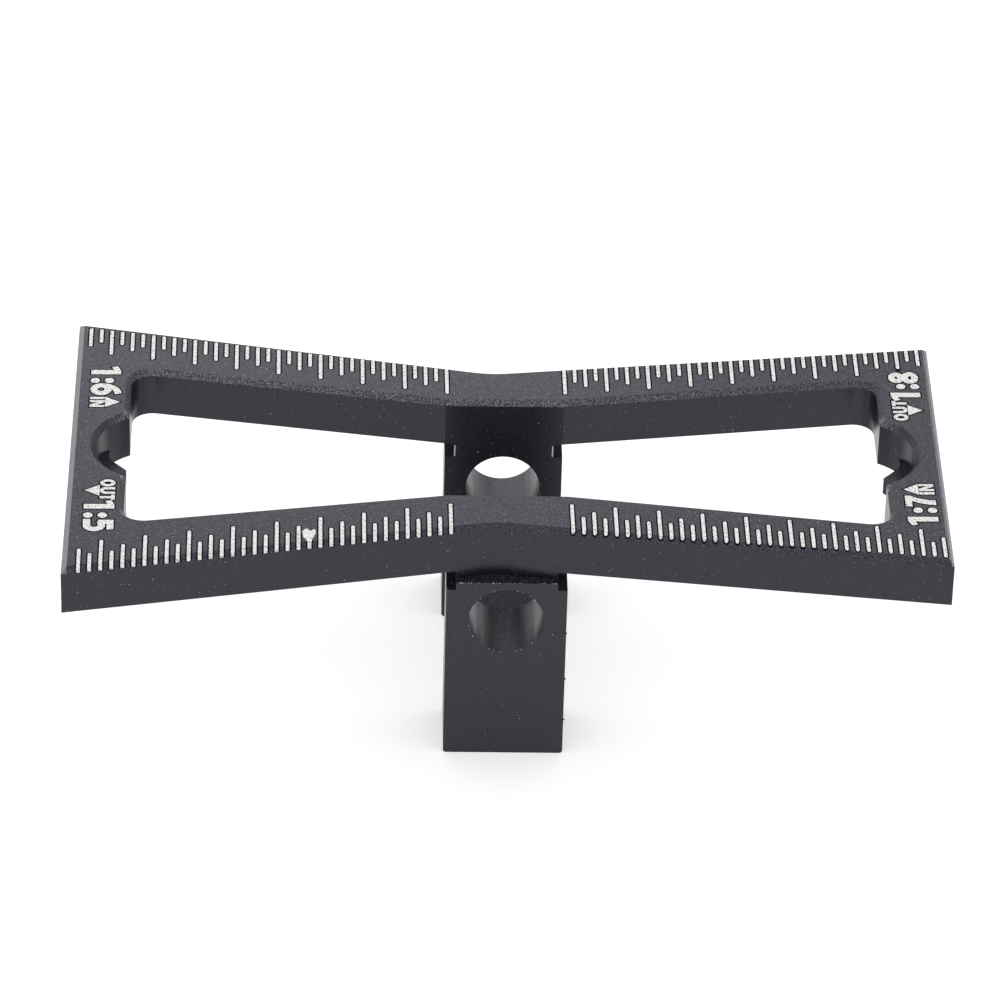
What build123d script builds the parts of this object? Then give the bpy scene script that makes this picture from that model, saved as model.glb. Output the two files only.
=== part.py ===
from build123d import *
from math import radians, tan
import os

# Dovetail marker: one block of aluminium, milled from solid and anodised black.
# A bow-tie plate with an open window carries four angled edges. Below its waist stand two legs that
# form the fence. Each arm has one slope along its outer edges and another along its window edges.
# Frame: X runs along the bow tie, Y across it, Z up. The origin is on the floor, midway between the
# two side faces of the fence and midway between its two outer faces.
# All sizes are in millimetres, and angles are in degrees.

# Bow-tie plate
body_length = 64.7
plate_thickness = 3.8
waist_depth = 21.8
waist_blend_radius = 7.0
left_outer_ratio = 5.0
right_outer_ratio = 8.0
edge_bevel = 0.41

# Window through the plate
window_depth = 12.1
left_window_ratio = 6.0
right_window_ratio = 7.0
end_bar_width = 4.25
window_corner_radius = 1.5
notch_radius = 4.5
notch_centre_from_end = 6.4

# Fence
overall_height = 19.8
fence_width = 8.9
fence_depth = 22.8
shoulder_drop = 0.57
foot_edge_radius = 0.25
bore_diameter = 5.6
bore_axis_below_top = 7.75
relief_width = 0.7
relief_height = 1.2

# Engraved graduations, one row along each outer edge, counted from the fence's side faces
graduation_pitch = 25.4 / 32
graduation_width = 0.34
graduation_depth = 0.08
graduation_end_chamfer = 0.1
graduation_margin = 0.16
last_graduation_clearance = 0.6
long_graduation = 3.45
medium_graduation = 2.63
short_graduation = 1.93

# The engraving sits slightly off the milled shape
engraving_shift_x = 0.18
engraving_shift_y = -0.17
engraving_turn = 0.52
front_row_drift = 0.0075

# Reach of cutting bodies beyond the faces that they cut
cutter_overrun = 1.0

underside_height = overall_height - plate_thickness
shoulder_height = underside_height - shoulder_drop
half_fence = fence_width / 2
half_window = window_depth / 2
window_end = body_length / 2 - end_bar_width
notch_centre = body_length / 2 - notch_centre_from_end
bore_axis_height = overall_height - bore_axis_below_top
graduated_length = body_length / 2 - half_fence - last_graduation_clearance
graduations_per_row = int(graduated_length / graduation_pitch) + 1


def spread(half_depth, x, left_ratio, right_ratio):
    """Half depth of the bow tie at x, from its value at the fence's side faces."""
    ratio = left_ratio if x < 0 else right_ratio
    return half_depth + (abs(x) - half_fence) / ratio


def outer_edge(x):
    return spread(waist_depth / 2, x, left_outer_ratio, right_outer_ratio)


def window_edge(x):
    return spread(half_window, x, left_window_ratio, right_window_ratio)


def waist_corner():
    """Point where the slopes of the two arms would meet without the blend."""
    ratio_sum = left_outer_ratio + right_outer_ratio
    x = half_fence * (left_outer_ratio - right_outer_ratio) / ratio_sum
    return x, outer_edge(x)


def bow_tie_outline():
    end = body_length / 2
    waist_x, waist_y = waist_corner()
    front = [(-end, -outer_edge(-end)), (waist_x, -waist_y), (end, -outer_edge(end))]
    back = [(x, -y) for x, y in reversed(front)]
    outline = make_face(Polyline(*front, *back, close=True))
    waist = outline.vertices().filter_by(lambda corner: abs(corner.X - waist_x) < half_fence)
    return fillet(waist, waist_blend_radius)


def window_outline():
    stations = [-window_end, -half_fence, half_fence, window_end]
    front = [(x, -window_edge(x)) for x in stations]
    back = [(x, -y) for x, y in reversed(front)]
    window = make_face(Polyline(*front, *back, close=True))
    corners = window.vertices().group_by(Axis.X)[0] + window.vertices().group_by(Axis.X)[-1]
    notches = Locations((-notch_centre, 0), (notch_centre, 0)) * Circle(notch_radius)
    return fillet(corners, window_corner_radius) + notches


def bevelled_plate(ring):
    plate = Pos(0, 0, underside_height) * extrude(ring, plate_thickness)
    top_edges = plate.edges().group_by(Axis.Z)[-1]
    return chamfer(top_edges, edge_bevel)


def fence(ring):
    """Two legs, flush with the window inside, and a neck that follows the plate's outline."""
    leg_depth = fence_depth / 2 - half_window
    leg = Box(fence_width, leg_depth, shoulder_height, align=(Align.CENTER, Align.MIN, Align.MIN))
    legs = Pos(0, half_window, 0) * leg + Pos(0, -half_window - leg_depth, 0) * leg
    foot_edges = legs.edges().filter_by(Axis.Y).group_by(Axis.Z)[0]
    legs = fillet(foot_edges, foot_edge_radius)
    neck = ring & Rectangle(fence_width, fence_depth)
    return legs + Pos(0, 0, shoulder_height) * extrude(neck, shoulder_drop)


def corner_reliefs():
    """Grooves under the plate that keep the fence's upper corners clear of a board's edge."""
    groove = Box(relief_width + cutter_overrun, fence_depth + 2 * cutter_overrun, relief_height)
    middle = half_fence - relief_width + (relief_width + cutter_overrun) / 2
    height = underside_height - relief_height / 2
    return [Pos(side * middle, 0, height) * groove for side in (-1, 1)]


def cross_bore():
    drill = Cylinder(bore_diameter / 2, fence_depth + 2 * cutter_overrun)
    return Pos(0, 0, bore_axis_height) * Rot(90, 0, 0) * drill


def graduation_length(index):
    if index % 4 == 0:
        return long_graduation
    return medium_graduation if index % 2 == 0 else short_graduation


def engraved_layer(x):
    """Section across the edge at +Y, from the engraving's floor up. It follows the top and the bevel."""
    edge = outer_edge(x)
    bend = edge - edge_bevel - graduation_depth * tan(radians(22.5))
    floor = overall_height - graduation_depth
    clear = overall_height + cutter_overrun
    outside = edge + cutter_overrun
    drop = outside - bend
    return make_face(Polyline((0, clear), (0, floor), (bend, floor), (outside, floor - drop),
                              (outside, clear), close=True))


def graduation_cutter(x, length, drift):
    """Groove for the edge at +Y. Its ends are blunt, and drift moves it inward, away from the waist."""
    layer = extrude(Plane.YZ * engraved_layer(x), graduation_width, both=True)
    outline = Rectangle(graduation_width, length)
    groove = chamfer(outline.vertices(), graduation_end_chamfer)
    middle = outer_edge(x) - graduation_margin - drift * (abs(x) - half_fence) - length / 2
    prism = extrude(Pos(0, middle, underside_height) * groove, plate_thickness + cutter_overrun)
    return Pos(x, 0, 0) * (layer & prism)


def graduation_cutters():
    engraving = Pos(engraving_shift_x, engraving_shift_y, 0) * Rot(0, 0, engraving_turn)
    cutters = []
    for index in range(graduations_per_row):
        length = graduation_length(index)
        reach = half_fence + index * graduation_pitch
        for x in (-reach, reach):
            back = graduation_cutter(x, length, 0)
            front = mirror(graduation_cutter(x, length, front_row_drift), Plane.XZ)
            cutters += [engraving * back, engraving * front]
    return cutters


def marker_body():
    ring = bow_tie_outline() - window_outline()
    blank = bevelled_plate(ring) + fence(ring)
    milled = blank - corner_reliefs() - cross_bore()
    return milled - graduation_cutters()


os.makedirs("parts", exist_ok=True)
export_step(marker_body(), "parts/body.step")
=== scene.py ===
"""Dovetail marker: paint in the engraving, black anodised metal, white studio and camera.

Everything is in metres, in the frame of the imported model. X runs along the bow tie, Y across it and
Z up. The feet of the fence stand on the floor at height zero.
"""

import math
import random

import bpy
from mathutils import Matrix, Vector
from mathutils.geometry import delaunay_2d_cdt


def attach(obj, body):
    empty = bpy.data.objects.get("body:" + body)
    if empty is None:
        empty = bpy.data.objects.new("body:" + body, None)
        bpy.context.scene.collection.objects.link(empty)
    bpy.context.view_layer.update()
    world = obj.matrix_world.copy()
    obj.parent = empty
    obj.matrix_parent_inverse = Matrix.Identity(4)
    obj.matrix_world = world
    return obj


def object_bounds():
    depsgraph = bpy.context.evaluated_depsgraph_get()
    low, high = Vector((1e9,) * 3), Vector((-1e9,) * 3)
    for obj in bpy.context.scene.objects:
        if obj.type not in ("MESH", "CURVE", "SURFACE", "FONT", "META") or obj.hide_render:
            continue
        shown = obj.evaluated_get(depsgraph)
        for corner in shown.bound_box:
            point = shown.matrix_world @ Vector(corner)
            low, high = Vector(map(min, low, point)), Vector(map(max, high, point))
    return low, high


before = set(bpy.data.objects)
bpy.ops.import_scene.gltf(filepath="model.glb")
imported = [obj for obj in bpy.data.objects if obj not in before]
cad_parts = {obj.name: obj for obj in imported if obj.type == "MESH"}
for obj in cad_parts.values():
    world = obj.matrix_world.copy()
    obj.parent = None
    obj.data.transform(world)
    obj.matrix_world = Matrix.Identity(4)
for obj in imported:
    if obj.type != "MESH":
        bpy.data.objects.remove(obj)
cad_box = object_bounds()

MM = 0.001

# Plate and fence, as the solid has them
half_length = cad_box[1][0]
top_height = cad_box[1][2]
plate_thickness = 3.8 * MM
half_waist = 10.9 * MM
left_outer_ratio = 5.0
right_outer_ratio = 8.0
edge_bevel = 0.41 * MM
notch_centre = 25.95 * MM
notch_radius = 4.5 * MM
half_fence = 4.45 * MM
leg_front = 11.4 * MM
leg_inner_face = 6.05 * MM
shoulder_height = 15.43 * MM
relief_width = 0.7 * MM
bore_radius = 2.8 * MM
bore_axis_height = 12.05 * MM

# Engraved graduations, as the solid has them
graduation_pitch = 25.4 / 32 * MM
graduations_per_row = 35
groove_width = 0.34 * MM
groove_margin = 0.16 * MM
long_groove = 3.45 * MM
medium_groove = 2.63 * MM
short_groove = 1.93 * MM
front_row_drift = 0.0075
engraving_shift = Vector((0.18 * MM, -0.17 * MM))
engraving_turn = math.radians(0.52)

# Paint, and the dark line of painted shade round it
paint_width = 0.265 * MM
paint_rise = 0.006 * MM
rim_width = 0.11 * MM
rim_rise = 0.003 * MM
coat_thickness = 0.035 * MM
round_end_steps = 6
bend_clearance = 0.05 * MM

# One graduation is painted short: its side in X, its side in Y and its place in the row
shortened_graduation = (1, 1, 32)
shortened_groove = 2.85 * MM

# Paint spilt over a graduation of the front left row, from its inner end, in millimetres
smeared_graduation = 13
smear_outline = ((-0.54, -0.17), (-0.45, -0.88), (-0.14, -1.5), (0.14, -1.5), (0.23, -1.09),
                 (0.45, -0.43), (0.42, 0.1), (0.05, -0.1), (-0.2, 0.22))

# Ratio marks, words and arrows, in millimetres. They stand on a line near each end.
baseline_from_centre = 31.27
digit_height = 2.24
letter_height = 1.12
raised_letter = digit_height - letter_height
colon_from_one = 1.15
digit_from_one = 2.35

# Characters of the two words and their arrows: steps from the "1", heights and names
word_in = ((3.43, 0, "I"), (4.18, 0, "N"), (3.95, raised_letter + 0.04, "up"))
word_out = ((-3.04, raised_letter, "O"), (-2.05, raised_letter, "U"), (-1.17, raised_letter, "T"),
            (-2.08, 0, "down"))

# Arm, place of the "1" along the reading line, other digit, word and the word's own shift
ratio_marks = (("left", -9.99, "6", word_in, 0.12), ("left", 7.91, "5", word_out, 0.0),
               ("right", -9.0, "7", word_in, -0.08), ("right", 7.525, "8", word_out, 0.0))

# Joints of strokes: the sharpest mitre's cosine, and millimetres within which points are the same
mitre_limit = 0.4
closed_distance = 0.001
merge_distance = 0.0001

# Shelf with a pointer, low in the notch of each end bar
shelf_thickness = 1.35 * MM
shelf_edge = 29.58 * MM
shelf_overlap = 0.05 * MM
shelf_wall_steps = 24
pointer_length = 1.34 * MM
pointer_half_width = 1.5 * MM
pointer_root_radius = 1.0 * MM
pointer_root_steps = 5

# Specks and burrs on the front leg, and how far their facets' corners reach as a share of their size
shoulder_flecks = 24
bore_flecks = 26
side_flecks = 6
side_fleck_heights = (2 * MM, 14 * MM)
fleck_seed = 7
burr_seed = 11
facet_reach = (0.5, 1.2)
fleck_sizes = (0.02 * MM, 0.07 * MM)
burr_sizes = (0.12 * MM, 0.16 * MM)
burr_heights = (3.1 * MM, 6.85 * MM, 10.97 * MM)

# Painted highlights on the corners beside the back leg's reliefs
glint_below_shoulder = 0.53 * MM
glint_height = 0.95 * MM
glint_width = 0.1 * MM
glint_rise = 0.01 * MM

# Refraction of the metal's coat, the painted-shade rim and everything else
coat_ior = 1.55
dull_ior = 1.08
plain_ior = 1.5

# Scales of the fine noises, in cells per metre
grain_scale = 6500.0
rough_scale = 9500.0
pit_scale = 5200.0
paint_hatch_scale = 1300.0
shade_rim_scale = 6000.0
bare_scale = 9000.0

# Colour ramps: values of a noise and the colours there
# Painted light and shade: the side faces get a darker ramp than the top face of the same metal
shaded_side_face_stops = ((0.35, (0.0, 0.0, 0.001)), (0.5, (0.003, 0.003, 0.0045)),
                   (0.7, (0.014, 0.014, 0.017)))
lit_top_face_stops = ((0.38, (0.0, 0.0, 0.003)), (0.5, (0.009, 0.009, 0.014)),
                  (0.64, (0.06, 0.06, 0.074)))
dust_stops = ((0.765, (0.0, 0.0, 0.0)), (0.79, (0.4, 0.4, 0.4)))
outer_bevel_stops = ((0.46, (0.0, 0.0, 0.001)), (0.53, (0.006, 0.006, 0.012)),
                     (0.61, (0.075, 0.075, 0.1)))
inner_bevel_stops = ((0.42, (0.0, 0.0, 0.003)), (0.5, (0.06, 0.06, 0.073)),
                     (0.6, (0.28, 0.28, 0.31)))
# Lighter grey strips on the end bevels, the right one bluer
left_end_bevel_stops = ((0.35, (0.09, 0.09, 0.1)), (0.65, (0.22, 0.22, 0.235)))
right_end_bevel_stops = ((0.35, (0.12, 0.12, 0.18)), (0.65, (0.24, 0.24, 0.33)))
notch_stops = ((0.44, (0.0, 0.0, 0.002)), (0.56, (0.12, 0.12, 0.14)), (0.66, (0.35, 0.35, 0.38)))
paint_stops = ((0.41, (0.36, 0.36, 0.37)), (0.5, (0.7, 0.7, 0.68)), (0.59, (0.88, 0.88, 0.85)))
shade_rim_stops = ((0.35, (0.0, 0.0, 0.002)), (0.7, (0.01, 0.01, 0.022)))
bare_and_highlight_stops = ((0.3, (0.35, 0.35, 0.37)), (0.7, (0.8, 0.8, 0.82)))

# Parts of the metal: heights of a normal that belong to the top face and to a bevel
top_face_normal = 0.95
bevel_normal = math.sqrt(0.5)
bevel_normal_range = 0.06

# Window bevels: how far they reach from the centre line, and how bright they are along the body, partly
# as a painted highlight
inner_bevel_limit = 8.0 * MM
inner_bevel_slope = 0.1
inner_bevel_share = 0.6
# Painted highlight: how the share of the light colour changes along the body
inner_bevel_highlight_change = -0.3
# Painted shade: how much of the light colour a window bevel loses as it faces sideways
inner_bevel_sideways_shade = -1.4
right_end_strip_width = 0.2 * MM

# Cutter marks on the notches' bevels: noise cells per radian and per metre, the shift between the
# two notches, and where painted shade fades the marks to black
notch_lines = 50.0
notch_line_breaks = 1500.0
notch_side_offset = 7.0
notch_shade_from = 29.8 * MM
notch_shade_fade = 1.4 * MM

# Grey hatch in the paint: how far its lines bend, the scale of the bends and its share of the wear
paint_hatch_bend = 3.0
paint_hatch_detail = 2.0
paint_hatch_share = 0.1

# Relief of the metal's grain
bump_strength = 0.35
bump_distance = 0.00002
bevel_bump = 4.0

# Floor and world. The extra strength is for what the camera and the glosses see.
floor_size = 6.0
floor_color = (0.9, 0.9, 0.9)
floor_extra = 0.37
world_strength = 0.9
world_extra = 0.1

# Lamps
softbox = {"place": (0, 0.15, 0.7), "aim": (0, 0, 0), "size": (0.6, 0.6), "power": 0.5}
back_card = {"place": (-0.027, 0.075, 0.048), "aim": (-0.027, 0, 0.048), "size": (0.085, 0.036),
             "power": 0.005}

# Camera, as fitted to the photograph, and the top face's centre in its view
sensor_width = 36.0
focal_length = 220.02
nearest_seen = 0.01
camera_turn = math.radians(-1.735)
camera_elevation = math.radians(34.359)
camera_roll = math.radians(1.5876)
top_centre_in_view = Vector((0.42695, 3.97903, -454.715)) * MM

# Kind of result of the triangulation that leaves out what lies outside the polygons
INSIDE_TRIANGLES = 1

# Sockets of a colour mix, which share their names with others on the same node
MIX_SHARE, MIX_FIRST, MIX_SECOND, MIX_RESULT = 0, 6, 7, 2


def principled(material):
    return next(node for node in material.node_tree.nodes if node.type == "BSDF_PRINCIPLED")


def new_material(name, color, roughness, ior=plain_ior):
    material = bpy.data.materials.new(name)
    material.use_nodes = True
    shader = principled(material)
    shader.inputs["Base Color"].default_value = (*color, 1.0)
    shader.inputs["Roughness"].default_value = roughness
    shader.inputs["IOR"].default_value = ior
    return material


def add_node(material, kind, **settings):
    node = material.node_tree.nodes.new(kind)
    for name, value in settings.items():
        setattr(node, name, value)
    return node


def join(material, source, target):
    material.node_tree.links.new(source, target)


def feed(material, socket, source):
    """Give a socket a number, or link another node's output to it."""
    if isinstance(source, bpy.types.NodeSocket):
        join(material, source, socket)
    else:
        socket.default_value = source


def calc(material, operation, *sources):
    node = add_node(material, "ShaderNodeMath", operation=operation)
    for socket, source in zip(node.inputs, sources):
        feed(material, socket, source)
    return node.outputs[0]


def noise(material, place, scale, detail=3.0, rough=0.55):
    node = add_node(material, "ShaderNodeTexNoise")
    node.inputs["Scale"].default_value = scale
    node.inputs["Detail"].default_value = detail
    node.inputs["Roughness"].default_value = rough
    join(material, place, node.inputs["Vector"])
    return node.outputs["Fac"]


def shades(material, factor, stops):
    """Colour that follows a factor. Each stop is a position and a colour."""
    ramp = add_node(material, "ShaderNodeValToRGB")
    elements = ramp.color_ramp.elements
    while len(elements) < len(stops):
        elements.new(0.5)
    for element, (position, color) in zip(elements, stops):
        element.position = position
        element.color = (*color, 1.0)
    join(material, factor, ramp.inputs["Fac"])
    return ramp.outputs["Color"]


def blend_colors(material, share, first, second, blend_type="MIX"):
    node = add_node(material, "ShaderNodeMix", data_type="RGBA", blend_type=blend_type)
    feed(material, node.inputs[MIX_SHARE], share)
    feed(material, node.inputs[MIX_FIRST], first)
    feed(material, node.inputs[MIX_SECOND], second)
    return node.outputs[MIX_RESULT]


def object_place(material):
    """Place on the piece, in metres."""
    return add_node(material, "ShaderNodeTexCoord").outputs["Object"]


def outer_edge(x):
    ratio = left_outer_ratio if x < 0 else right_outer_ratio
    return half_waist + (abs(x) - half_fence) / ratio


def surface_height(x, y):
    """Height of the plate's top face or bevel above the floor."""
    inside = outer_edge(x) - abs(y)
    return top_height - max(0.0, edge_bevel - inside)


def groove_length(index):
    if index % 4 == 0:
        return long_groove
    return medium_groove if index % 2 == 0 else short_groove


def engraved(point):
    """Place in the part of a point in the engraving's own layout."""
    return Matrix.Rotation(engraving_turn, 2) @ point + engraving_shift


def mesh_object(name, points, faces, material):
    mesh = bpy.data.meshes.new(name)
    mesh.from_pydata(points, [], faces)
    mesh.validate()
    mesh.update()
    mesh.materials.append(material)
    piece = bpy.data.objects.new(name, mesh)
    bpy.context.scene.collection.objects.link(piece)
    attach(piece, "root")
    return piece


def append_shell(points, faces, shell_points, shell_faces):
    """Add a closed shell to the points and faces of a piece."""
    first = len(points)
    points += shell_points
    faces += [tuple(first + i for i in face) for face in shell_faces]


def stroke_half_width(along, length, width):
    """Half width of a round-ended stroke at a distance from its outer end."""
    radius = width / 2
    from_end = min(along, length - along, radius)
    return math.sqrt(max(0.0, radius ** 2 - (radius - from_end) ** 2))


def stroke_stations(length, width, bend):
    """Distances along a round-ended stroke. One of them is where it crosses the bevel's top edge."""
    quarter_turn = math.pi / 2
    angles = [quarter_turn * step / round_end_steps for step in range(round_end_steps + 1)]
    ends = [width / 2 * (1 - math.cos(angle)) for angle in angles]
    stations = ends + [length / 2] + [length - along for along in reversed(ends)]
    return sorted([along for along in stations if abs(along - bend) > bend_clearance] + [bend])


def stroke_place(x, along, outer_end, side):
    """Place in the part of a point on a stroke, at a distance from its outer end."""
    return engraved(Vector((x, side * (outer_end - along))))


def bend_along(x, outer_end, length, side):
    """Distance from a stroke's outer end to the bevel's top edge."""
    ends = [stroke_place(x, along, outer_end, side) for along in (0, length)]
    outer, inner = [outer_edge(end.x) - abs(end.y) for end in ends]
    return length * (edge_bevel - outer) / (inner - outer)


def stroke_points(x, outer_end, length, side, width, rise):
    """Points on both sides of a stroke, in pairs. They follow the top face and the bevel."""
    points = []
    bend = bend_along(x, outer_end, length, side)
    for along in stroke_stations(length, width, bend):
        half = stroke_half_width(along, length, width)
        for rail in (x - half, x + half):
            down = bend_along(rail, outer_end, length, side) if along == bend else along
            place = stroke_place(rail, down, outer_end, side)
            edge = outer_edge(place.x)
            y = max(-edge, min(edge, place.y))
            points.append((place.x, y, surface_height(place.x, y) + rise))
    return points


def stroke_faces(size, side):
    """Faces of a closed coat between a stroke's pairs of points and their copies below."""
    upper = [(row, row + 1, row + 3, row + 2) for row in range(0, size - 2, 2)]
    outline = list(range(0, size, 2)) + list(range(size - 1, 0, -2))
    if side > 0:
        upper = [face[::-1] for face in upper]
    else:
        outline.reverse()
    lower = [tuple(size + i for i in reversed(face)) for face in upper]
    walls = [(b, a, size + a, size + b) for a, b in zip(outline, outline[1:] + outline[:1])]
    return upper + lower + walls


def graduation_row(name, side_x, side_y, material, grow, rise):
    """Coat of one row of graduations, as one piece. It is wider than the paint by grow all round."""
    points, faces = [], []
    drift = front_row_drift if side_y < 0 else 0.0
    inset = (groove_width - paint_width) / 2 - grow
    for index in range(graduations_per_row):
        reach = half_fence + index * graduation_pitch
        x = side_x * reach
        outer_end = outer_edge(x) - groove_margin - inset - drift * (reach - half_fence)
        is_short = (side_x, side_y, index) == shortened_graduation
        length = min(groove_length(index), shortened_groove if is_short else long_groove)
        upper = stroke_points(x, outer_end, length - 2 * inset, side_y, paint_width + 2 * grow, rise)
        lower = [(px, py, pz - coat_thickness) for px, py, pz in upper]
        append_shell(points, faces, upper + lower, stroke_faces(len(upper), side_y))
    return mesh_object(name, points, faces, material)


def arc(centre, radii, start, end, steps=20):
    """Points on an ellipse between two angles in degrees."""
    points = []
    for step in range(steps + 1):
        angle = math.radians(start + (end - start) * step / steps)
        x = centre[0] + radii[0] * math.cos(angle)
        y = centre[1] + radii[1] * math.sin(angle)
        points.append((x, y))
    return points


def glyph_shapes():
    """Strokes and filled outlines of each character, in millimetres, with the baseline at zero.

    A stroke is a width and the points of its middle line. A filled outline has width zero."""
    stem = digit_height
    top = letter_height
    return {
        "1": [(0, [(-0.3, 0), (0.3, 0), (0.3, stem), (-0.16, stem), (-0.34, 2.19), (-0.82, 1.98),
                   (-0.67, 1.54), (-0.3, 1.72)])],
        ":": [(0, arc((0, 0.33), (0.35, 0.35), 0, 350, 23)),
              (0, arc((0, 1.39), (0.35, 0.35), 0, 350, 23))],
        "5": [(0.5, [(0.62, stem - 0.25), (-0.36, stem - 0.25), (-0.36, 1.1)]),
              (0.54, [(-0.46, 1.26), (-0.24, 1.36)] + arc((0.12, 0.82), (0.46, 0.54), 110, -100)
               + [(-0.3, 0.27), (-0.7, 0.27)])],
        "6": [(0.54, arc((0, 0.8), (0.53, 0.53), 0, 360, 28)),
              (0.52, [(-0.54, 0.8), (-0.5, 1.2), (-0.34, 1.56), (-0.08, 1.86), (0.24, 2.03),
                      (0.6, 2.1)])],
        "7": [(0, [(-0.7, stem), (-0.7, 1.75), (0.02, 1.75), (-0.26, 1.2), (-0.45, 0.6), (-0.53, 0),
                   (0.07, 0), (0.15, 0.66), (0.36, 1.3), (0.7, 1.86), (0.7, stem)])],
        "8": [(0.5, arc((0, 1.66), (0.46, 0.35), 0, 360, 26)),
              (0.52, arc((0, 0.62), (0.53, 0.38), 0, 360, 28))],
        "I": [(0.3, [(0, 0), (0, top)])],
        "N": [(0.27, [(-0.32, 0), (-0.32, top)]), (0.27, [(0.32, 0), (0.32, top)]),
              (0, [(-0.45, top), (-0.16, top), (0.45, 0), (0.16, 0)])],
        "O": [(0.28, arc((0, 0.56), (0.32, 0.42), 0, 360, 24))],
        "U": [(0.28, [(-0.29, top)] + arc((0, 0.43), (0.29, 0.29), 180, 360, 14) + [(0.29, top)])],
        "T": [(0.27, [(-0.34, top - 0.135), (0.34, top - 0.135)]), (0.28, [(0, 0), (0, top - 0.2)])],
        "up": [(0, [(-0.7, 0), (0.7, 0), (0, 1.1)])],
        "down": [(0, [(-0.7, 1.1), (0, 0), (0.7, 1.1)])],
    }


def counter_clockwise(points):
    area = sum(a.x * b.y - b.x * a.y for a, b in zip(points, points[1:] + points[:1]))
    return points if area > 0 else points[::-1]


def stroke_quads(points, width, closed):
    """Quads along a middle line, with mitred joints."""
    count = len(points)
    rails = []
    for index, point in enumerate(points):
        before = points[index - 1] if index > 0 or closed else None
        after = points[(index + 1) % count] if index < count - 1 or closed else None
        directions = [(b - a).normalized() for a, b in ((before, point), (point, after)) if a and b]
        normals = [direction.orthogonal() for direction in directions]
        mitre = sum(normals, Vector((0, 0))).normalized()
        reach = width / 2 / max(mitre_limit, mitre.dot(normals[0]))
        rails.append((point - mitre * reach, point + mitre * reach))
    following = rails[1:] + rails[:1] if closed else rails[1:]
    return [[a[0], b[0], b[1], a[1]] for a, b in zip(rails, following)]


def shape_polygons(width, middle_line, grow):
    """Polygons that cover one stroke or filled outline, widened by grow all round."""
    points = [Vector(point) for point in middle_line]
    if width == 0:
        edge = stroke_quads(points, 2 * grow, True) if grow > 0 else []
        return [points] + edge
    closed = (points[0] - points[-1]).length < closed_distance
    if closed:
        points.pop()
    elif grow > 0:
        points[0] = points[0] + (points[0] - points[1]).normalized() * grow
        points[-1] = points[-1] + (points[-1] - points[-2]).normalized() * grow
    return stroke_quads(points, width + 2 * grow, closed)


def merged_region(polygons):
    """Points and triangles of the union of overlapping polygons."""
    points, faces = [], []
    for polygon in polygons:
        faces.append(list(range(len(points), len(points) + len(polygon))))
        points += counter_clockwise(polygon)
    result = delaunay_2d_cdt(points, [], faces, INSIDE_TRIANGLES, merge_distance)
    merged, _, triangles, _, _, sources = result
    return merged, [tuple(tri) for tri, source in zip(triangles, sources) if source]


def mark_layout():
    """Characters of all four marks: the arm, the place along the reading line and the height.

    The left arm reads towards the front and the right arm towards the back."""
    marks = []
    for arm, one, digit, word, nudge in ratio_marks:
        marks += [(arm, one, 0, "1"), (arm, one + colon_from_one, 0, ":")]
        marks.append((arm, one + digit_from_one, 0, digit))
        marks += [(arm, one + step + nudge, height, name) for step, height, name in word]
    return marks


def on_plate(arm, across, up):
    """Place in the part, in metres, of a point beside a mark's baseline, in millimetres."""
    side = -1 if arm == "left" else 1
    return engraved(Vector((side * (baseline_from_centre - up), side * across)) * MM)


def flat_coat(places, triangles, rise):
    """Points and faces of a thin solid whose upper face lies a little above the top face."""
    size = len(places)
    height = top_height + rise
    points = [(place.x, place.y, height) for place in places]
    points += [(place.x, place.y, height - coat_thickness) for place in places]
    edges = {edge for a, b, c in triangles for edge in ((a, b), (b, c), (c, a))}
    faces = []
    for a, b, c in triangles:
        faces += [(a, b, c), (size + c, size + b, size + a)]
    faces += [(b, a, size + a, size + b) for a, b in edges if (b, a) not in edges]
    return points, faces


def mark_coat(name, material, grow, rise):
    """Coat of every ratio mark, word and arrow, as one piece."""
    shapes = glyph_shapes()
    points, faces = [], []
    for arm, start, height, character in mark_layout():
        polygons = []
        for width, line in shapes[character]:
            polygons += shape_polygons(width, line, grow)
        flat, triangles = merged_region(polygons)
        places = [on_plate(arm, start + point.x, height + point.y) for point in flat]
        append_shell(points, faces, *flat_coat(places, triangles, rise))
    return mesh_object(name, points, faces, material)


def paint_smear(material):
    """Paint spilt round one graduation of the front left row."""
    run = smeared_graduation * graduation_pitch
    x = -half_fence - run
    inner_end = outer_edge(x) - groove_margin - front_row_drift * run - short_groove
    flat, triangles = merged_region([[Vector(corner) for corner in smear_outline]])
    places = [engraved(Vector((point.x * MM + x, point.y * MM - inner_end))) for point in flat]
    return mesh_object("paint_smear", *flat_coat(places, triangles, 2 * paint_rise), material)


def relief_glints(material):
    """Painted highlights on the corners where the reliefs under the plate end in the back leg's inner
    face.
    """
    points, faces = [], []
    base = shoulder_height - glint_below_shoulder
    back = leg_inner_face + glint_width
    prism = [(0, 1, 2), (5, 4, 3), (0, 3, 4, 1), (1, 4, 5, 2), (2, 5, 3, 0)]
    for side in (-1, 1):
        x = side * (half_fence - relief_width)
        corners = [(x, leg_inner_face), (x - side * glint_width, leg_inner_face), (x, back)]
        # Each prism carries a painted highlight in light grey metal
        shell = [(px, py - glint_rise, z) for z in (base, base + glint_height) for px, py in corners]
        append_shell(points, faces, shell, prism if side > 0 else [face[::-1] for face in prism])
    return mesh_object("relief_glints", points, faces, material)


def pointer_outline():
    """Free edge of the left shelf, from its front end to its back end."""
    corner = Vector((-shelf_edge, -pointer_half_width))
    apex = Vector((pointer_length - shelf_edge, 0))
    along_edge = Vector((0, -1))
    along_pointer = (apex - corner).normalized()
    tangent = pointer_root_radius / math.tan(along_edge.angle(along_pointer) / 2)
    start, end = corner + along_edge * tangent, corner + along_pointer * tangent
    shares = [step / pointer_root_steps for step in range(pointer_root_steps + 1)]
    root = [start.lerp(corner, share).lerp(corner.lerp(end, share), share) for share in shares]
    return root + [apex] + [Vector((point.x, -point.y)) for point in reversed(root)]


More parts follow.
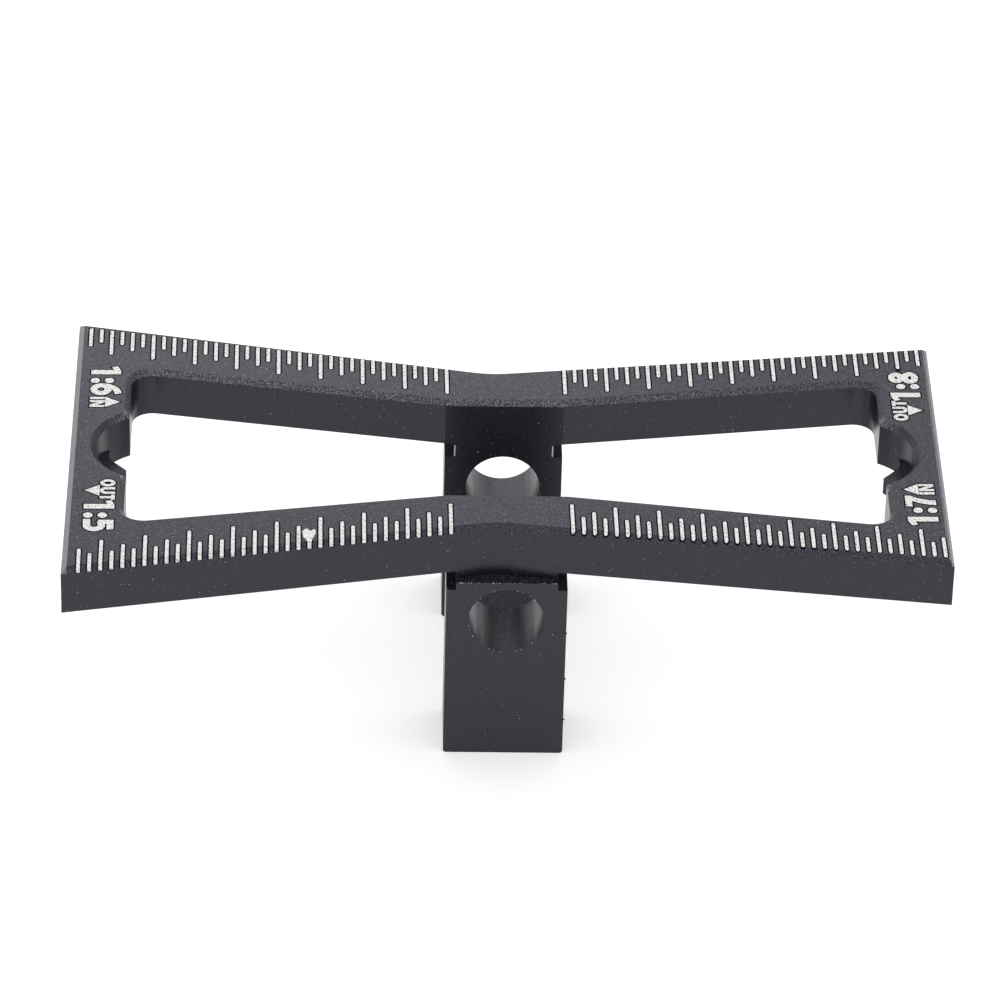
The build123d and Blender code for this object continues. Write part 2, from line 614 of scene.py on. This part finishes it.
def notch_shelf(name, side, material):
    """Shelf at the foot of one notch. It follows the notch's wall and carries the pointer."""
    radius = notch_radius + shelf_overlap
    half = math.asin(math.sqrt(radius ** 2 - (shelf_edge - notch_centre) ** 2) / radius)
    outline = []
    for step in range(shelf_wall_steps + 1):
        angle = math.pi - half + 2 * half * step / shelf_wall_steps
        outline.append(Vector((radius * math.cos(angle) - notch_centre, radius * math.sin(angle))))
    outline += pointer_outline()
    if side > 0:
        outline = [Vector((-point.x, point.y)) for point in reversed(outline)]
    base = top_height - plate_thickness
    size = len(outline)
    points = [(point.x, point.y, base) for point in outline]
    points += [(point.x, point.y, base + shelf_thickness) for point in outline]
    faces = [tuple(reversed(range(size))), tuple(range(size, 2 * size))]
    faces += [(a, (a + 1) % size, size + (a + 1) % size, size + a) for a in range(size)]
    return mesh_object(name, points, faces, material)


def chip(place, size, rng):
    """Points and faces of one tiny chip with eight facets."""
    points = []
    for direction in ((1, 0, 0), (-1, 0, 0), (0, 1, 0), (0, -1, 0), (0, 0, 1), (0, 0, -1)):
        points.append(Vector(place) + Vector(direction) * size * rng.uniform(*facet_reach))
    faces = [(0, 2, 4), (2, 1, 4), (1, 3, 4), (3, 0, 4), (2, 0, 5), (1, 2, 5), (3, 1, 5), (0, 3, 5)]
    return points, faces


def chips(name, places, sizes, rng, material):
    """One piece made of a chip at each place, with a random size between the two given."""
    points, faces = [], []
    for place in places:
        append_shell(points, faces, *chip(place, rng.uniform(*sizes), rng))
    return mesh_object(name, points, faces, material)


def edge_flecks(material):
    """Bright specks on the fence's shoulder, bore rim and side edge: burrs left by the cutter, partly a
    painted highlight of the edges that catch light.
    """
    rng = random.Random(fleck_seed)
    reach = half_fence - relief_width
    places = []
    for _ in range(shoulder_flecks):
        places.append((rng.uniform(-reach, reach), -leg_front, shoulder_height))
    for _ in range(bore_flecks):
        angle = rng.uniform(0, 2 * math.pi)
        height = bore_axis_height + bore_radius * math.sin(angle)
        places.append((bore_radius * math.cos(angle), -leg_front, height))
    for _ in range(side_flecks):
        places.append((half_fence, -leg_front, rng.uniform(*side_fleck_heights)))
    return chips("edge_flecks", places, fleck_sizes, rng, material)


def edge_burrs(material):
    """Three dark burrs on the right edge of the front leg."""
    places = [(half_fence, -leg_front, height) for height in burr_heights]
    return chips("edge_burrs", places, burr_sizes, random.Random(burr_seed), material)


def face_color(material, spot, grain, normal_z):
    """Colour of the flat faces: the grain with painted light and shade, lighter on top and darker on the
    sides, and dust everywhere.
    """
    # Painted shade on the side faces and painted light on the top face
    shaded_side_face = shades(material, grain, shaded_side_face_stops)
    lit_top_face = shades(material, grain, lit_top_face_stops)
    is_top = calc(material, "GREATER_THAN", normal_z, top_face_normal)
    face = blend_colors(material, is_top, shaded_side_face, lit_top_face)
    dust = shades(material, noise(material, spot, grain_scale, detail=1.0), dust_stops)
    return blend_colors(material, 1.0, face, dust, "ADD")


def straight_bevel_color(material, x, y, normal_x, rough_grain):
    """Colour of the bevels: dark along the outer edges, rough and light along the window; the light
    there is partly a painted highlight, brightest at the left, and painted shade darkens bevels that
    face sideways.
    """
    reach = calc(material, "ABSOLUTE", x)
    limit = calc(material, "MULTIPLY_ADD", reach, inner_bevel_slope, inner_bevel_limit)
    is_inner = calc(material, "LESS_THAN", calc(material, "ABSOLUTE", y), limit)
    # Painted highlight: the light colour is strongest at the left end and weakest at the right
    change = inner_bevel_highlight_change / half_length
    along = calc(material, "MULTIPLY_ADD", x, change, inner_bevel_share)
    # Painted shade on bevels that face sideways
    sideways = calc(material, "ABSOLUTE", normal_x)
    sideways_shade_share = calc(material, "MULTIPLY_ADD", sideways, inner_bevel_sideways_shade, 1.0)
    share = calc(material, "MULTIPLY", is_inner, calc(material, "MULTIPLY", along, sideways_shade_share))
    outer_bevel = shades(material, rough_grain, outer_bevel_stops)
    inner_bevel = shades(material, rough_grain, inner_bevel_stops)
    return blend_colors(material, share, outer_bevel, inner_bevel)


def notch_lines_factor(material, x, y, across, from_centre):
    """Noise in lines that run out from the notch's centre, different in the two notches."""
    turned = add_node(material, "ShaderNodeCombineXYZ")
    angle = calc(material, "ARCTAN2", y, across)
    feed(material, turned.inputs["X"], calc(material, "MULTIPLY", angle, notch_lines))
    feed(material, turned.inputs["Y"], calc(material, "MULTIPLY", from_centre, notch_line_breaks))
    end = calc(material, "SIGN", x)
    feed(material, turned.inputs["Z"], calc(material, "MULTIPLY", end, notch_side_offset))
    return noise(material, turned.outputs[0], 1.0, detail=2.0, rough=0.6)


def notch_hatch(material, x, y):
    """Whether a point lies off the notches' bevels, and the cutter's radial marks on those bevels, faded
    to black by painted shade towards the outer end.
    """
    reach = calc(material, "ABSOLUTE", x)
    across = calc(material, "SUBTRACT", reach, notch_centre)
    square_x = calc(material, "MULTIPLY", across, across)
    square_y = calc(material, "MULTIPLY", y, y)
    from_centre = calc(material, "SQRT", calc(material, "ADD", square_x, square_y))
    lines = notch_lines_factor(material, x, y, across, from_centre)
    stripes = shades(material, lines, notch_stops)
    # Painted shade: the marks fade to black towards the outer end of each notch
    from_shade = calc(material, "SUBTRACT", notch_shade_from, reach)
    unshaded_share = calc(material, "MULTIPLY", from_shade, 1 / notch_shade_fade)
    unshaded_share = calc(material, "MINIMUM", calc(material, "MAXIMUM", unshaded_share, 0.0), 1.0)
    hatch = blend_colors(material, unshaded_share, (0.0, 0.0, 0.001, 1.0), stripes)
    off_notch = calc(material, "GREATER_THAN", from_centre, notch_radius + 2 * edge_bevel)
    return off_notch, hatch


def bevel_color(material, x, y, normal_x, rough_grain):
    """Colour of every bevel: the straight ones, the notches' own and the lighter grey strips on the ones
    at the ends.
    """
    bevel = straight_bevel_color(material, x, y, normal_x, rough_grain)
    off_notch, hatch = notch_hatch(material, x, y)
    bevel = blend_colors(material, off_notch, hatch, bevel)
    # Lighter grey strips on the end bevels; the right one is narrower and bluer
    is_left_end = calc(material, "LESS_THAN", x, edge_bevel - half_length)
    left_end_strip = shades(material, rough_grain, left_end_bevel_stops)
    bevel = blend_colors(material, is_left_end, bevel, left_end_strip)
    is_right_end = calc(material, "GREATER_THAN", x, half_length - right_end_strip_width)
    right_end_strip = shades(material, rough_grain, right_end_bevel_stops)
    return blend_colors(material, is_right_end, bevel, right_end_strip)


def add_bump(material, height):
    bump = add_node(material, "ShaderNodeBump")
    bump.inputs["Strength"].default_value = bump_strength
    bump.inputs["Distance"].default_value = bump_distance
    join(material, height, bump.inputs["Height"])
    join(material, bump.outputs["Normal"], principled(material).inputs["Normal"])


def anodised_metal():
    """Black anodised aluminium: mottled grain, rough bevels, cutter marks and a few bright specks, with
    painted light: a lighter top face, a painted highlight on the window bevels and painted shade on the
    sides and notches.
    """
    material = new_material("anodised_metal", (0.008, 0.008, 0.01), roughness=0.3, ior=coat_ior)
    shader = principled(material)
    shader.inputs["Specular Tint"].default_value = (0.84, 0.84, 1.0, 1.0)
    place = add_node(material, "ShaderNodeTexCoord")
    spot = place.outputs["Object"]
    at = add_node(material, "ShaderNodeSeparateXYZ")
    join(material, spot, at.inputs[0])
    normal = add_node(material, "ShaderNodeSeparateXYZ")
    join(material, place.outputs["Normal"], normal.inputs[0])

    grain = noise(material, spot, grain_scale, detail=4.0, rough=0.6)
    rough_grain = noise(material, spot, rough_scale, rough=0.7)
    face = face_color(material, spot, grain, normal.outputs["Z"])
    x, y = at.outputs["X"], at.outputs["Y"]
    bevel = bevel_color(material, x, y, normal.outputs["X"], rough_grain)
    is_bevel = calc(material, "COMPARE", normal.outputs["Z"], bevel_normal, bevel_normal_range)
    color = blend_colors(material, is_bevel, face, bevel)
    join(material, color, shader.inputs["Base Color"])

    rough_height = calc(material, "MULTIPLY", is_bevel, rough_grain)
    add_bump(material, calc(material, "MULTIPLY_ADD", rough_height, bevel_bump, grain))
    return material


def mark_paint():
    """White paint with faint grey hatch lines and dark pits."""
    material = new_material("mark_paint", (0.86, 0.86, 0.83), roughness=0.6)
    place = object_place(material)
    pits = noise(material, place, pit_scale, rough=0.7)
    hatch = add_node(material, "ShaderNodeTexWave", bands_direction="DIAGONAL")
    hatch.inputs["Scale"].default_value = paint_hatch_scale
    hatch.inputs["Distortion"].default_value = paint_hatch_bend
    hatch.inputs["Detail Scale"].default_value = paint_hatch_detail
    join(material, place, hatch.inputs["Vector"])
    wear = calc(material, "MULTIPLY_ADD", hatch.outputs["Fac"], paint_hatch_share, pits)
    join(material, shades(material, wear, paint_stops), principled(material).inputs["Base Color"])
    return material


def speckled_material(name, color, roughness, ior, scale, stops):
    """Material whose colour follows one fine noise."""
    material = new_material(name, color, roughness, ior)
    speckle = shades(material, noise(material, object_place(material), scale), stops)
    join(material, speckle, principled(material).inputs["Base Color"])
    return material


def painted_shade_rim():
    """Painted shade of the engraving's walls: a dark blue line beside the engraving, duller than the
    metal.
    """
    return speckled_material("engraving_painted_shade", (0.003, 0.003, 0.008), 0.5, dull_ior, shade_rim_scale, shade_rim_stops)


def bare_metal_and_highlight():
    """Light grey metal: bare aluminium where the coat is broken, and a painted highlight on edges and
    corners that catch light.
    """
    return speckled_material("bare_metal_and_highlight", (0.6, 0.6, 0.62), 0.4, plain_ior, bare_scale, bare_and_highlight_stops)


def background_rays(material):
    """One for the rays that show the background: from the camera, a gloss or a clear material."""
    rays = add_node(material, "ShaderNodeLightPath")
    seen = calc(material, "ADD", rays.outputs["Is Camera Ray"], rays.outputs["Is Glossy Ray"])
    return calc(material, "ADD", seen, rays.outputs["Is Transmission Ray"])


def add_floor():
    bpy.ops.mesh.primitive_plane_add(size=floor_size, location=(0, 0, 0))
    floor = bpy.context.object
    floor.name = "floor"
    material = new_material("floor_white", floor_color, roughness=0.8)
    shader = principled(material)
    shader.inputs["Specular IOR Level"].default_value = 0.0
    shader.inputs["Emission Color"].default_value = (1.0, 1.0, 1.0, 1.0)
    glow = calc(material, "MULTIPLY", background_rays(material), floor_extra)
    join(material, glow, shader.inputs["Emission Strength"])
    floor.data.materials.append(material)


def add_world():
    world = bpy.data.worlds.new("studio")
    bpy.context.scene.world = world
    world.use_nodes = True
    background = world.node_tree.nodes["Background"]
    background.inputs["Color"].default_value = (1.0, 1.0, 1.0, 1.0)
    strength = calc(world, "MULTIPLY_ADD", background_rays(world), world_extra, world_strength)
    join(world, strength, background.inputs["Strength"])


def add_area(name, place, aim, size, power):
    lamp = bpy.data.lights.new(name, "AREA")
    lamp.shape = "RECTANGLE"
    lamp.size, lamp.size_y = size
    lamp.energy = power
    light = bpy.data.objects.new(name, lamp)
    bpy.context.scene.collection.objects.link(light)
    light.location = place
    light.rotation_euler = (Vector(aim) - Vector(place)).to_track_quat("-Z", "Y").to_euler()
    light.visible_camera = False


def add_camera():
    camera = bpy.data.cameras.new("camera")
    camera.sensor_width = sensor_width
    camera.lens = focal_length
    camera.clip_start = nearest_seen
    eye = bpy.data.objects.new("camera", camera)
    bpy.context.scene.collection.objects.link(eye)
    tilt = math.pi / 2 - camera_elevation
    turn = Matrix.Rotation(camera_turn, 3, "Z") @ Matrix.Rotation(tilt, 3, "X")
    turn = turn @ Matrix.Rotation(camera_roll, 3, "Z")
    place = Vector((0, 0, top_height)) - turn @ top_centre_in_view
    eye.matrix_world = Matrix.Translation(place) @ turn.to_4x4()
    bpy.context.scene.camera = eye


def dress_body(material):
    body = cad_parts["body"]
    body.data.materials.clear()
    body.data.materials.append(material)


def add_marks(paint, rim):
    """Paint, and the dark rim of painted shade, of all graduations and ratio marks."""
    for name, side_x, side_y in (("front_left", -1, -1), ("front_right", 1, -1),
                                 ("back_left", -1, 1), ("back_right", 1, 1)):
        graduation_row(f"graduation_paint_{name}", side_x, side_y, paint, 0.0, paint_rise)
        # The rim pieces are a dark sheet of painted shade round the paint
        graduation_row(f"graduation_shade_rim_{name}", side_x, side_y, rim, rim_width, rim_rise)
    mark_coat("ratio_marks_paint", paint, 0.0, paint_rise)
    mark_coat("ratio_marks_shade_rim", rim, rim_width / MM, rim_rise)


metal = anodised_metal()
paint = mark_paint()
bare_and_highlight = bare_metal_and_highlight()
dress_body(metal)
add_marks(paint, painted_shade_rim())
notch_shelf("notch_shelf_left", -1, metal)
notch_shelf("notch_shelf_right", 1, metal)
paint_smear(paint)
# Light grey specks: burrs, partly a painted highlight of the edges
edge_flecks(bare_and_highlight)
edge_burrs(metal)
relief_glints(bare_and_highlight)

add_floor()
add_world()
add_area("overhead_softbox", **softbox)
add_area("back_card", **back_card)
add_camera()
bpy.context.scene.view_settings.view_transform = "Standard"
